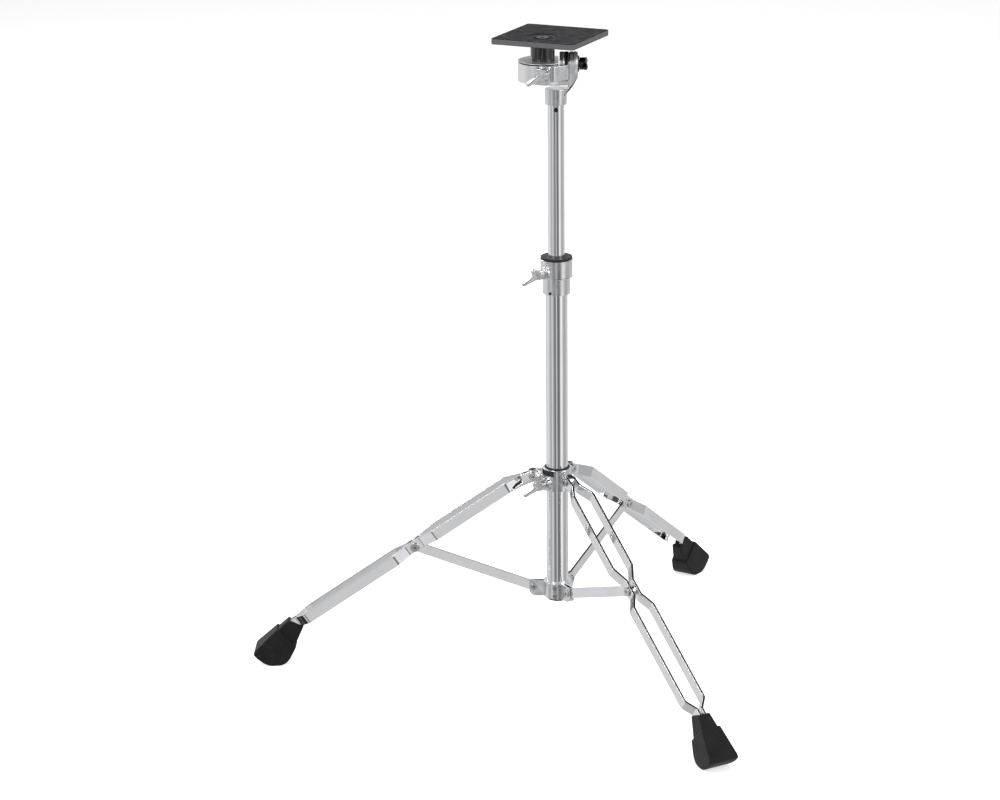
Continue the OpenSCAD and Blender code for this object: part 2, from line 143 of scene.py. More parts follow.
def chrome(name, tint, rough, ripple):
    """Chrome plate: faint haze and wipe marks, and a slow ripple in the plated steel."""
    s = Shader(name).set(Metallic=1.0)
    haze = s.noise(38, 4)
    wipes = s.noise(900, 2, stretch=(1, 1, 0.06))
    s.wire(s.ramp(haze, (0.3, tuple(c * 0.94 for c in tint)), (0.7, tint)), "Base Color")
    s.wire(s.span(s.noise(70, 5), rough * 0.6, rough * 1.7), "Roughness")
    s.bump(wipes, 0.000004, 0.35, after=s.bump(s.noise(16, 1), ripple, 1))
    return s.material


def zinc(name):
    """Dull zinc plate with a mottled grain."""
    s = Shader(name).set(Metallic=1.0)
    s.wire(s.ramp(s.noise(260, 4), (0.3, (0.50, 0.51, 0.53)), (0.7, (0.66, 0.67, 0.68))), "Base Color")
    s.wire(s.span(s.noise(500, 3), 0.2, 0.36), "Roughness")
    s.bump(s.noise(1400, 3), 0.00001, 0.5)
    return s.material


def turned_aluminium(name):
    """Satin aluminium with the fine level lines that turning leaves."""
    s = Shader(name).set(Metallic=0.8)
    lines = s.noise(60, 3, stretch=(1, 1, 60), rough=0.7)
    s.wire(s.ramp(lines, (0.3, (0.66, 0.67, 0.68)), (0.7, (0.80, 0.81, 0.82))), "Base Color")
    s.wire(s.span(s.noise(140, 4), 0.26, 0.38), "Roughness")
    s.bump(lines, 0.00003, 0.5)
    return s.material


def powder_coat(name, colour, painted_side_light, rough):
    """Painted metal with the orange peel of a powder coat; its upright sides get a lighter colour, a painted sheen
    standing in for the light they catch.
    """
    s = Shader(name).set(Specular_IOR_Level=0.06)
    lift = tuple(c * 1.2 + 0.002 for c in colour)
    face = s.ramp(s.noise(45, 5), (0.3, colour), (0.75, lift))
    # Painted light: upright faces take the lighter grey, a painted sheen rather than wear
    s.wire(s.mix(s.steepness(), face, painted_side_light), "Base Color")
    s.wire(s.span(s.noise(110, 4), rough * 0.85, rough * 1.2), "Roughness")
    s.bump(s.noise(2600, 2), 0.00003, 0.4, after=s.bump(s.noise(700, 2), 0.00004, 0.5))
    return s.material


def gloss_black(name):
    """Black enamel under a clear coat."""
    s = Shader(name).set(Coat_Weight=0.6, Coat_Roughness=0.04)
    s.wire(s.ramp(s.noise(60, 3), (0.3, (0.008, 0.008, 0.009)), (0.7, (0.014, 0.014, 0.016))), "Base Color")
    s.wire(s.span(s.noise(90, 4), 0.10, 0.2), "Roughness")
    s.bump(s.noise(500, 2), 0.00001, 0.4)
    return s.material


def nylon(name):
    """Black moulded nylon, matt and finely grained."""
    s = Shader(name)
    s.wire(s.ramp(s.noise(300, 4), (0.3, (0.005, 0.005, 0.006)), (0.7, (0.012, 0.012, 0.013))), "Base Color")
    s.wire(s.span(s.noise(200, 3), 0.42, 0.6), "Roughness")
    s.bump(s.noise(1800, 3), 0.00004, 0.5)
    return s.material


def dark_steel(name):
    """Blackened steel."""
    s = Shader(name).set(Metallic=1.0)
    s.wire(s.ramp(s.noise(220, 4), (0.3, (0.03, 0.03, 0.033)), (0.7, (0.07, 0.07, 0.075))), "Base Color")
    s.wire(s.span(s.noise(300, 3), 0.24, 0.4), "Roughness")
    s.bump(s.noise(900, 3), 0.00002, 0.4)
    return s.material


def rubber(name):
    """Moulded rubber: a fine grain, and scuffs that are a little greyer."""
    s = Shader(name).set(Specular_IOR_Level=0.2, Sheen_Weight=0.05, Sheen_Roughness=0.5)
    base = s.ramp(s.noise(55, 5), (0.3, (0.0045, 0.0045, 0.005)), (0.75, (0.009, 0.009, 0.010)))
    scuffs = s.span(s.noise(160, 6, stretch=(1, 1, 0.4), rough=0.75), 0, 0.5, 0.56, 0.72)
    s.wire(s.mix(scuffs, base, (0.02, 0.02, 0.021)), "Base Color")
    s.wire(s.span(s.noise(420, 3), 0.5, 0.72), "Roughness")
    s.bump(s.noise(1500, 3), 0.00006, 0.6, after=s.bump(s.noise(240, 3), 0.0001, 0.4))
    return s.material


FINISH = {
    "chrome_tube": chrome("chrome_tube", (0.86, 0.87, 0.885), 0.035, 0.00002),
    "chrome_strip": chrome("chrome_strip", (0.84, 0.85, 0.865), 0.05, 0.00006),
    "chrome_cast": chrome("chrome_cast", (0.78, 0.79, 0.805), 0.22, 0.0001),
    "zinc_fastener": zinc("zinc_fastener"),
    "satin_block": turned_aluminium("satin_block"),
    # The plate's second colour is the painted sheen for its upright sides
    "black_plate": powder_coat("black_plate", (0.007, 0.007, 0.0085), (0.105, 0.106, 0.11), 0.5),
    "black_post": gloss_black("black_post"),
    "dark_steel": dark_steel("dark_steel"),
    "nylon": nylon("nylon"),
    "rubber_boot": rubber("rubber_boot"),
}
SLOT_OF = {p["node"]: p["material_slot"] for p in frame["record"]["subparts"]}
for name, node in NODES.items():
    node.data.materials.clear()
    node.data.materials.append(FINISH[SLOT_OF[name]])


# ---------------------------------------------------------------- mesh helpers

LOW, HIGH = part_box("lower_tube")
MAST_X = (LOW.x + HIGH.x) / 2
TUBE_R = (HIGH.x - LOW.x) / 2
MAST_FOOT, UPRIGHT = (MAST_X, 0, 0), (0, 0, 1)


def add_piece(name, bm, body, slot, *replaced, sharp=35):
    """Makes a piece from a bmesh, with smooth faces, sharp edges kept and flat faces kept flat."""
    bmesh.ops.recalc_face_normals(bm, faces=bm.faces)
    for face in bm.faces:
        face.smooth = True
    for edge in bm.edges:
        edge.smooth = len(edge.link_faces) != 2 or edge.calc_face_angle(0) < math.radians(sharp)
    mesh = bpy.data.meshes.new(name)
    bm.to_mesh(mesh)
    bm.free()
    mesh.materials.append(FINISH[slot])
    piece = bpy.data.objects.new(name, mesh)
    bpy.context.scene.collection.objects.link(piece)
    weigh = piece.modifiers.new("flat_faces", "WEIGHTED_NORMAL")
    weigh.keep_sharp = True
    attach(piece, body)
    if replaced:
        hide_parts(*replaced)


SHARP_ANGLE = math.radians(28)
CRISP_REACH = 2.4 * MM


def refine(node, width, segments, crisp=None):
    """Rounds the edges of a CAD node in a copy that stands for it, but not those of a hole at crisp.

    The bevel may stand a hair proud where edges meet, so the copy is held to the node's own box.
    """
    bm = bmesh.new()
    bm.from_mesh(NODES[node].data)
    bmesh.ops.remove_doubles(bm, verts=bm.verts, dist=2e-6)
    bmesh.ops.dissolve_limit(bm, angle_limit=math.radians(0.5), verts=bm.verts, edges=bm.edges)
    low, high = ([fit(v.co[i] for v in bm.verts) for i in range(3)] for fit in (min, max))
    sharp = [e for e in bm.edges if len(e.link_faces) == 2 and e.calc_face_angle(0) > SHARP_ANGLE]
    if crisp is not None:
        sharp = [e for e in sharp if min((v.co - crisp).length for v in e.verts) > CRISP_REACH]
    bmesh.ops.bevel(bm, geom=sharp, offset=width * MM, segments=segments, profile=0.5,
                    affect="EDGES", clamp_overlap=False)
    for v in bm.verts:
        v.co = Vector([min(max(c, a), b) for c, a, b in zip(v.co, low, high)])
    add_piece(node + "_cast", bm, BODY_OF[node], SLOT_OF[node], node)


def ring_loops(bm, loops, closed=False):
    """Joins loops of points into a skin; closed joins the last loop to the first, else both are capped."""
    rows = [[bm.verts.new(p) for p in loop] for loop in loops]
    count = len(rows[0])
    pairs = list(zip(rows, rows[1:])) + ([(rows[-1], rows[0])] if closed else [])
    for a, b in pairs:
        for i in range(count):
            j = (i + 1) % count
            bm.faces.new((a[i], a[j], b[j], b[i]))
    if not closed:
        bm.faces.new(rows[0])
        bm.faces.new(list(reversed(rows[-1])))


def lathe(profile, place, axis, steps=96, bm=None):
    """Turned solid, in bm if it's given: the profile is a closed line of (radius, distance) in mm."""
    bm = bm or bmesh.new()
    turn = Vector(axis).to_track_quat("Z", "Y").to_matrix()
    loops = []
    for i in range(steps):
        a = 2 * math.pi * i / steps
        loops.append([Vector(place) + turn @ (Vector((r * math.cos(a), r * math.sin(a), z)) * MM)
                      for r, z in profile])
    ring_loops(bm, loops, closed=True)
    return bm


def rounded(points, radius, closed=False, steps=5):
    """A line with its corners turned into arcs; radius may be one value or one for each point."""
    out = []
    count = len(points)
    for i, p in enumerate(points):
        p = Vector(p)
        if not closed and i in (0, count - 1):
            out.append(p)
            continue
        back, ahead = Vector(points[i - 1]) - p, Vector(points[(i + 1) % count]) - p
        half = (math.pi - back.angle(ahead)) / 2
        bend = radius[i] if isinstance(radius, (list, tuple)) else radius
        if half < 0.01 or bend <= 0:
            out.append(p)
            continue
        cut = min(bend * math.tan(half), 0.45 * back.length, 0.45 * ahead.length)
        bend = cut / math.tan(half)
        middle = p + (back.normalized() + ahead.normalized()).normalized() * bend / math.cos(half)
        start = p + back.normalized() * cut - middle
        end = p + ahead.normalized() * cut - middle
        sweep = start.angle_signed(end)
        for k in range(steps + 1):
            a = sweep * k / steps
            c, s = math.cos(a), math.sin(a)
            out.append(middle + Vector((start.x * c + start.y * s, start.y * c - start.x * s)))
    return out


def leg_point(azimuth, r, w, z):
    """World place of a point given from the mast: r out along the azimuth, w across, z up, in mm."""
    c, s = math.cos(azimuth), math.sin(azimuth)
    return Vector((MAST_X + (r * c - w * s) * MM, (r * s + w * c) * MM, z * MM))


# Direction of each leg from the mast; the hinges are all at one radius and one height
HINGES = {leg: JOINTS[f"leg_{leg}_fold"]["pos_m"] for leg in "abc"}
LEGS = {leg: math.atan2(y, x - MAST_X) for leg, (x, y, z) in HINGES.items()}
HINGE_R = math.hypot(HINGES["c"][0] - MAST_X, HINGES["c"][1]) / MM
HINGE_Z = HINGES["c"][2] / MM


# ---------------------------------------------------------------- legs

KNEE_R, KNEE_Z = 58.0, 221.7
STRIP_RUN = 270
SLOPE = math.radians(34.4)
STRIP_W, STRIP_T = 13.0, 2.8
SIDE_LINE = rounded([(HINGE_R, HINGE_Z), (KNEE_R, KNEE_Z),
                     (KNEE_R + STRIP_RUN, KNEE_Z - STRIP_RUN * math.tan(SLOPE))], 16, steps=6)


def down(point):
    """Distance down the slope from the hinge."""
    return (point[0] - HINGE_R) * math.cos(SLOPE) + (HINGE_Z - point[1]) * math.sin(SLOPE)


def side_at(u):
    """Middle of the strip in the side view at a distance down the slope, and its direction."""
    for p, q in zip(SIDE_LINE, SIDE_LINE[1:]):
        if down(q) >= u or q is SIDE_LINE[-1]:
            f = (u - down(p)) / (down(q) - down(p))
            return p.lerp(q, f) if 0 <= f <= 1 else p + (q - p) * f, (q - p).normalized()


# The two strips run apart in two loops, pinched together at the hinge, at the brace and in the boot
BRACE_R, BRACE_TOP_Z = 166.6, 145.84
JOINT_U = down((BRACE_R, BRACE_TOP_Z))
PINCH, LOOP, BOOTED = 4.2, 12.4, 3.2
PLAN_LINE = rounded([
    (0, PINCH), (14, PINCH), (31.5, LOOP), (JOINT_U - 29, LOOP), (JOINT_U - 10.5, PINCH),
    (JOINT_U + 10, PINCH), (JOINT_U + 26, LOOP), (319, LOOP), (331, BOOTED), (354, BOOTED)], 5, steps=4)


def strip_section(half_w, half_t):
    """Rounded outline of a strip's section: (across the width, across the thickness)."""
    corner = min(0.55, half_w * 0.8)
    out = []
    for qx, qy in ((1, 1), (-1, 1), (-1, -1), (1, -1)):
        for turned in (0, 30, 60, 90):
            a = math.radians(turned)
            if qx * qy < 0:
                a = math.pi / 2 - a
            out.append((qx * (half_w - corner + corner * math.cos(a)),
                        qy * (half_t - corner + corner * math.sin(a))))
    return out


def make_strip(leg, side, node):
    """Flat strip on edge: a round end over the hinge, then the side view's bend and the plan's loops."""
    bm = bmesh.new()
    stations = [(-6.4 * math.sin(math.radians(a)), PINCH) for a in (88, 78, 66, 52, 38, 24, 12)]
    stations += [tuple(p) for p in PLAN_LINE]
    for u in (down(p) for p in SIDE_LINE[1:-1]):
        for (u0, v0), (u1, v1) in zip(stations, stations[1:]):
            if u0 + 0.3 < u < u1 - 0.3:
                stations.append((u, v0 + (v1 - v0) * (u - u0) / (u1 - u0)))
                stations.sort()
                break
    loops = []
    for i, (u, v) in enumerate(stations):
        u0, v0 = stations[max(i - 1, 0)]
        u1, v1 = stations[min(i + 1, len(stations) - 1)]
        lean = math.atan2(v1 - v0, u1 - u0)
        if i in (0, len(stations) - 1):
            lean = 0
        middle, ahead = side_at(u)
        up = Vector((-ahead.y, ahead.x))
        half_w = STRIP_W / 2 if u >= 0 else math.sqrt(max((STRIP_W / 2) ** 2 - u * u, 0.4))
        loop = []
        for a, t in strip_section(half_w, STRIP_T / 2):
            spot = middle + up * a - ahead * (t * math.sin(lean))
            loop.append(leg_point(LEGS[leg], spot.x, side * (v + t * math.cos(lean)), spot.y))
        loops.append(loop)
    ring_loops(bm, loops)
    add_piece(node + "_pressed", bm, BODY_OF[node], SLOT_OF[node], node, sharp=50)


# Side view of a boot from the mast and the floor, with the radius of each corner; the ridge parts the
# plump toe from the narrower neck
BOOT_SIDE = [(297.5, 47), (311, 18), (316, 8.5), (321, 2.6), (327, 0), (340, 0), (347.5, 3.6),
             (355, 9.6), (359.5, 15), (358, 19), (318.5, 56.5)]
BOOT_RADII = [3, 20, 14, 12, 14, 26, 26, 14, 3, 2.5, 3]
BOOT_MOUTH = Vector((318.5, 56.5))
BOOT_LEAN = math.radians(35)
RIDGE_TOP, RIDGE_FOOT = Vector((334, 46)), Vector((304, 17))
NECK_STEP, NECK_OVERLAP = 1.8, 2.5


def boot_half(point):
    """Half the boot's width at a point of its side view."""
    along = (point - BOOT_MOUTH).dot(Vector((math.cos(BOOT_LEAN), -math.sin(BOOT_LEAN))))
    return 9 + min(max(along, -30), 60) / 6


def clip(points, start, end):
    """The part of a closed line on the left of the line from start to end."""
    out = []
    across = Vector((start.y - end.y, end.x - start.x)).normalized()
    for i, p in enumerate(points):
        q = points[(i + 1) % len(points)]
        a, b = (p - start).dot(across), (q - start).dot(across)
        if a >= 0:
            out.append(p)
        if a * b < 0:
            out.append(p.lerp(q, a / (a - b)))
    return out


def inward(points, distance):
    """A closed line moved in, mitred at its corners; it runs anticlockwise."""
    out = []
    for i, p in enumerate(points):
        a = (p - points[i - 1]).normalized()
        b = (points[(i + 1) % len(points)] - p).normalized()
        m, n = Vector((-a.y, a.x)), Vector((-b.y, b.x))
        out.append(p + (m + n) * distance / (1 + max(m.dot(n), -0.2)))
    return out


def even(points, gap):
    """Drops points that are closer than gap to the one before."""
    out = []
    for p in points:
        if not out or (p - out[-1]).length > gap:
            out.append(p)
    return out


def boot_block(outline, edge, shrink):
    """Loops of a solid with the given side view and the boot's taper, its edges rounded."""
    centre = sum(outline, Vector((0, 0))) / len(outline)
    rows = []
    levels = [(edge * (1 - math.cos(a)), edge * (1 - math.sin(a)))
              for a in (math.radians(d) for d in (0, 22, 45, 67, 90))]
    half = [(inward(outline, i) if i else outline, drop) for i, drop in levels]
    half += [([p.lerp(centre, f) for p in half[-1][0]], 0) for f in (0.35, 0.7)]
    for side in (1, -1):
        rows += [[(p.x, side * (boot_half(p) - shrink - drop), p.y) for p in loop]
                 for loop, drop in (reversed(half) if side > 0 else half)]
    return rows


def make_boot(leg):
    """Rubber boot: a plump toe, and a neck a step smaller that runs a little way into it."""
    bm = bmesh.new()
    outline = rounded(BOOT_SIDE, BOOT_RADII, closed=True, steps=4)
    fall = RIDGE_FOOT - RIDGE_TOP
    shift = Vector((fall.y, -fall.x)).normalized() * NECK_OVERLAP
    toe = clip(outline, RIDGE_TOP, RIDGE_FOOT)
    neck = clip(inward(outline, NECK_STEP), RIDGE_FOOT - shift, RIDGE_TOP - shift)
    for part, shrink in ((toe, 0), (neck, NECK_STEP)):
        part = even(rounded(part, 1.2, closed=True, steps=2), 0.25)
        ring_loops(bm, [[leg_point(LEGS[leg], r, w, z) for r, w, z in row]
                        for row in boot_block(part, 1.6, shrink)])
    add_piece(f"boot_{leg}_moulded", bm, f"leg_{leg}", "rubber_boot", f"boot_{leg}", sharp=60)


def make_brace(leg):
    """Flat bar with round ends, and the eye that the brace rivet holds between the strips."""
    low = JOINTS[f"brace_{leg}_fold"]["pos_m"]
    start = Vector((HINGE_R, low[2] / MM))
    end = Vector((BRACE_R, BRACE_TOP_Z))
    ahead = (end - start).normalized()
    up = Vector((-ahead.y, ahead.x))
    half, length = 6.0, (end - start).length
    turns = [math.radians(a) for a in (86, 76, 64, 50, 36, 22, 10, 0)]
    stations = [-half * math.sin(a) for a in turns] + [length + half * math.sin(a) for a in reversed(turns)]
    bm = bmesh.new()
    loops = []
    for u in stations:
        past = max(-u, u - length, 0)
        width = math.sqrt(max(half * half - past * past, 0.2))
        loops.append([leg_point(LEGS[leg], spot.x, t, spot.y)
                      for a, t in strip_section(width, 1.4)
                      for spot in (start + ahead * u + up * a,)])
    ring_loops(bm, loops)
    eye = leg_point(LEGS[leg], end.x, 0, end.y)
    axis = Vector((-math.sin(LEGS[leg]), math.cos(LEGS[leg]), 0))
    lathe([(2.6, -2.4), (2.6, 2.4), (2.9, 2.7), (5.1, 2.7),
           (5.5, 2.3), (5.5, -2.3), (5.1, -2.7), (2.9, -2.7)], eye, axis, 64, bm)
    node = f"brace_{leg}"
    add_piece(node + "_bar", bm, BODY_OF[node], SLOT_OF[node], node, sharp=50)


# Which way across its leg each strip lies
SIDES = {"a": {"front": 1, "back": -1}, "b": {"front": -1, "back": 1}, "c": {"front": -1, "back": 1}}
for leg in "abc":
    for name, side in SIDES[leg].items():
        make_strip(leg, side, f"strip_{leg}_{name}")
    make_boot(leg)
    refine(f"rivets_{leg}", 0.75, 3)
    make_brace(leg)


# ---------------------------------------------------------------- turned and cast pieces

TUBE_WALL = 1.2


def tube_profile(outer, inner, z1, z2, lip=0.5):
    """Wall of a tube with its end edges broken."""
    return [(inner, z1 + lip), (inner + lip * 0.5, z1), (outer - lip, z1), (outer, z1 + lip),
            (outer, z2 - lip), (outer - lip * 0.3, z2 - lip * 0.3), (outer - lip, z2),
            (inner + lip * 0.5, z2), (inner, z2 - lip)]


def make_tube(node):
    low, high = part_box(node)
    outer = (high.x - low.x) / 2 / MM
    bm = lathe(tube_profile(outer, outer - TUBE_WALL, low.z / MM, high.z / MM), MAST_FOOT, UPRIGHT, 128)
    add_piece(node + "_drawn", bm, BODY_OF[node], SLOT_OF[node], node)


make_tube("lower_tube")
make_tube("upper_tube")


def cast_wing(node, joint, stud, hub, hub_r, spread, reach, root_r, tip_r, turn):
    """Cast wing screw: stud, hub and two lobes melted together.

    stud is where the stud starts, if it has one, and hub where the hub starts and ends, in mm along the
    joint's axis. The lobes lean out by spread degrees and turn degrees round the axis, reach mm far.
    """
    pin = JOINTS[joint]
    axis = Vector(pin["axis"]).normalized()
    side = Vector((0, 0, 1)).cross(axis).normalized()
    basis = Matrix((axis, side, axis.cross(side))).transposed()
    basis = Matrix.Rotation(math.radians(turn), 3, axis) @ basis
    bm = bmesh.new()

    def drum(x1, x2, radius):
        got = bmesh.ops.create_cone(bm, cap_ends=True, segments=48, radius1=radius * MM,
                                    radius2=radius * MM, depth=(x2 - x1) * MM)
        for v in got["verts"]:
            v.co = Vector((v.co.z + (x1 + x2) / 2 * MM, v.co.x, v.co.y))

    def blob(x, y, size, lean=0):
        spin = Matrix.Rotation(lean, 3, "Z")
        for v in bmesh.ops.create_icosphere(bm, subdivisions=3, radius=MM)["verts"]:
            v.co = spin @ Vector([c * k for c, k in zip(v.co, size)]) + Vector((x, y, 0)) * MM

    if stud is not None:
        drum(stud, hub[0] + 1, 3)
    drum(hub[0], hub[1] - 0.8, hub_r)
    blob(hub[1] - 1.0, 0, (1.6, hub_r * 0.9, hub_r * 0.9))
    root = hub[0] + 0.6 * (hub[1] - hub[0])
    for way in (1, -1):
        for k in range(12):
            f = k / 11
            lean = math.radians(spread + 7 * f)
            radius = root_r + (tip_r - root_r) * f + 0.5 * math.sin(math.pi * f)
            blob(root + reach * f * math.cos(lean), way * reach * f * math.sin(lean),
                 (radius, radius * 0.9, 3.7 - 1.1 * f), way * lean)
    rough = bpy.data.meshes.new("wing_parts")
    bm.to_mesh(rough)
    bm.free()
    temp = bpy.data.objects.new("wing_parts", rough)
    bpy.context.scene.collection.objects.link(temp)
    melt = temp.modifiers.new("melt", "REMESH")
    melt.mode = "VOXEL"
    melt.voxel_size = 0.4 * MM
    soft = temp.modifiers.new("soft", "SMOOTH")
    soft.factor = 0.6
    soft.iterations = 6
    bpy.context.view_layer.update()
    bm = bmesh.new()
    bm.from_mesh(temp.evaluated_get(bpy.context.evaluated_depsgraph_get()).to_mesh())
    for v in bm.verts:
        v.co = Vector(pin["pos_m"]) + basis @ v.co
    bpy.data.objects.remove(temp)
    bpy.data.meshes.remove(rough)
    add_piece(node + "_lobed", bm, BODY_OF[node], SLOT_OF[node], node, sharp=70)


WING = {"hub_r": 5.6, "spread": 31, "reach": 18.5, "root_r": 6.0, "tip_r": 3.5, "turn": 50}
cast_wing("height_wing", "height_lock", -19.8, (-6.3, 2.6), **WING)
cast_wing("collar_wing", "collar_lock", -17.1, (-6.2, 2.8), **WING)
cast_wing("post_wing", "post_lock", -6.9, (11.5, 20.5), **WING)
cast_wing("tilt_wing", "tilt_lock", None, (-1.8, 5.9),
          hub_r=6.9, spread=72, reach=11.5, root_r=3.5, tip_r=2.5, turn=14)

# The small hole low in the clamp's sleeve
CLAMP_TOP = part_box("height_clamp")[1].z / MM
SLEEVE_R = 15.6
HOLE_AZ, HOLE_Z = math.radians(242), CLAMP_TOP - 38
refine("height_clamp", 0.7, 3, crisp=leg_point(HOLE_AZ, SLEEVE_R, 0, HOLE_Z))
# Each node, the width of its rounding in mm and the facets across it
for node, width, segments in (
        ("clamp_bushing", 0.5, 2), ("clamp_nut", 0.5, 2), ("tube_end_cap", 0.5, 2),
        ("brace_bracket", 0.4, 2), ("bracket_pins", 0.6, 3), ("bracket_screws", 0.15, 1),
        ("stop_screw", 0.35, 2), ("tube_guide", 0.5, 2),
        ("tilter_base", 0.7, 3), ("tilt_bolt", 0.7, 2), ("tilt_washer", 0.3, 2), ("tilt_cradle", 0.7, 3),
        ("clamp_block", 0.25, 2), ("block_rim", 0.25, 2), ("post", 0.6, 2), ("plate", 0.8, 3),
        ("post_bolt", 0.35, 2), ("leg_collar", 0.6, 3), ("collar_bushing", 0.3, 1), ("hinge_pins", 0.7, 3)):
    refine(node, width, segments)


def ring(name, body, slot, place, axis, outer, inner, z1, z2, lip=0.35):
    """Thin turned ring with rounded lips."""
    profile = [(inner, z1 + lip), (inner, z2 - lip), (inner + lip, z2), (outer - lip, z2),
               (outer, z2 - lip), (outer, z1 + lip), (outer - lip, z1), (inner + lip, z1)]
    add_piece(name, lathe(profile, place, axis), body, slot)


COLLAR_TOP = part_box("leg_collar")[1].z / MM
TILT = JOINTS["tilt"]["pos_m"]
ring("clamp_rim", "stand", "chrome_cast", MAST_FOOT, UPRIGHT, 18.7, 17, CLAMP_TOP - 1.7, CLAMP_TOP - 0.1)
ring("clamp_step", "stand", "chrome_cast", MAST_FOOT, UPRIGHT,
     18.6, 15, CLAMP_TOP - 21.6, CLAMP_TOP - 19.6, 0.7)
ring("collar_lip", "collar", "nylon", MAST_FOOT, UPRIGHT,
     14.6, TUBE_R / MM + 0.2, COLLAR_TOP - 0.4, COLLAR_TOP + 1.1, 0.4)


DISC_R, DISC_BORE, DISC_GROOVE = 13.7, 8, 0.7


def crowned_disc(name, body, slot, x1, x2, crown, step):
    """Ratchet plate with rounded shoulders and a groove round its rim, step mm to each side."""
    mid, floor = (x1 + x2) / 2, DISC_R - DISC_GROOVE
    profile = [(DISC_BORE, x1), (DISC_R - crown, x1), (DISC_R - crown * 0.3, x1 + crown * 0.3),
               (DISC_R, x1 + crown), (DISC_R, mid - step), (floor, mid - step + 0.2),
               (floor, mid + step - 0.2), (DISC_R, mid + step), (DISC_R, x2 - crown),
               (DISC_R - crown * 0.3, x2 - crown * 0.3), (DISC_R - crown, x2), (DISC_BORE, x2)]
    add_piece(name, lathe(profile, TILT, (1, 0, 0)), body, slot)


crowned_disc("tilt_plate_inner", "head", "satin_block", 4.1, 9.6, 1.4, 0.4)
crowned_disc("tilt_plate_outer", "swivel", "satin_block", 14.6, 24.4, 2.2, 0.5)
ring("tilt_friction_ring", "head", "nylon", TILT, (1, 0, 0), 13.5, 9, 9.7, 14.3, 0.3)


def inset(line, share):
    """A closed line drawn in towards its middle by a small distance in mm."""
    centre = sum(line, Vector((0, 0))) / len(line)
    return [p + (centre - p).normalized() * share for p in line]


def collar_pad(leg):
    """Nylon saddle over a collar lug, between the upper ends of a leg's strips."""
    half_w, outer_r, inner_r, edge = 2.5, 8.2, 6.6, 0.3
    arc = [math.radians(a) for a in range(48, 128, 8)]
    outline = rounded([(HINGE_R + radius * math.cos(a), HINGE_Z + radius * math.sin(a))
                       for radius, angles in ((outer_r, arc), (inner_r, reversed(arc))) for a in angles],
                      0.5, closed=True, steps=2)
    bm = bmesh.new()
    ring_loops(bm, [[leg_point(LEGS[leg], r, w, z) for r, z in line] for w, line in (
        (-half_w, inset(outline, edge)), (-half_w + edge, outline), (half_w - edge, outline),
        (half_w, inset(outline, edge)))])
    add_piece(f"collar_pad_{leg}", bm, "collar", "nylon")


def moulded_box(name, body, slot, low, high, soften):
    """Rounded block between two opposite corners, in metres."""
    bm = bmesh.new()
    bmesh.ops.create_cube(bm, size=1)
    for v in bm.verts:
        v.co = Vector([low[i] if v.co[i] < 0 else high[i] for i in range(3)])
    bmesh.ops.bevel(bm, geom=list(bm.edges), offset=soften * MM, segments=3, profile=0.5, affect="EDGES")
    add_piece(name, bm, body, slot)


def arc_guard(name, body, slot, start, end, outer, inner, z1, z2):
    """Part of a ring about the mast, from one direction to another in degrees."""
    outline = rounded([(inner, z1), (outer, z1), (outer, z2), (inner, z2)], 0.5, closed=True, steps=3)
    count = int((end - start) / 2.5)
    bm = bmesh.new()
    ring_loops(bm, [[leg_point(math.radians(start + (end - start) * i / count), r, 0, z) for r, z in outline]
                    for i in range(count + 1)])
    add_piece(name, bm, body, slot)


# A dished cap with a rolled lip, from its sunk back to the middle of its dish
EYE_PROFILE = [(0.02, -0.6), (1.5, -0.6), (1.5, 0.05), (1.3, 0.2), (0.9, 0.12), (0.5, -0.1), (0.02, -0.15)]


def rivet_eyes(name, body, places, slot="dark_steel"):
    """Dark hollow ends of tubular rivets, each at (place, axis)."""
    bm = bmesh.new()
    for place, axis in places:
        lathe(EYE_PROFILE, place, axis, 32, bm)
    add_piece(name, bm, body, slot)


rivet_eyes("sleeve_hole", "stand", [(leg_point(HOLE_AZ, SLEEVE_R - 0.3, 0, HOLE_Z),
                                     (math.cos(HOLE_AZ), math.sin(HOLE_AZ), 0))], "nylon")
moulded_box("tilt_slot_pad", "head", "nylon",
            Vector(TILT) + Vector((9.7, -9.5, -11)) * MM, Vector(TILT) + Vector((13.6, 6, -1)) * MM, 0.5)
arc_guard("collar_guard", "collar", "nylon", 188, 256, 17.5, 15.5, COLLAR_TOP - 7.5, COLLAR_TOP - 0.6)

for leg in "abc":
    collar_pad(leg)
    across = Vector((-math.sin(LEGS[leg]), math.cos(LEGS[leg]), 0))
    rivet_eyes(f"rivet_eyes_{leg}", f"leg_{leg}", [
        (leg_point(LEGS[leg], BRACE_R, side * 7.4, BRACE_TOP_Z), across * side) for side in (1, -1)])
    rivet_eyes(f"hinge_eyes_{leg}", "collar", [
        (leg_point(LEGS[leg], HINGE_R, side * 7.5, HINGE_Z), across * side) for side in (1, -1)])
    fold_z = JOINTS[f"brace_{leg}_fold"]["pos_m"][2] / MM
    rivet_eyes(f"bracket_eyes_{leg}", "stand", [
        (leg_point(LEGS[leg], HINGE_R, side * 5.1, fold_z), across * side) for side in (1, -1)])


# ---------------------------------------------------------------- studio

FLOOR_HALF = 6.0


def make_floor():
    mesh = bpy.data.meshes.new("studio_floor")
    corners = [(x * FLOOR_HALF, y * FLOOR_HALF, 0) for x, y in ((-1, -1), (1, -1), (1, 1), (-1, 1))]
    mesh.from_pydata(corners, [], [(0, 1, 2, 3)])
    floor = bpy.data.objects.new("studio_floor", mesh)
    bpy.context.scene.collection.objects.link(floor)
    s = Shader("studio_floor")
    s.set(Roughness=0.9, Specular_IOR_Level=0.0, Emission_Color=(1, 1, 1, 1), Emission_Strength=0.62)
    s.wire(s.ramp(s.noise(0.6, 2), (0.3, (0.80, 0.80, 0.80)), (0.7, (0.82, 0.82, 0.82))), "Base Color")
    mesh.materials.append(s.material)
    floor.visible_glossy = False


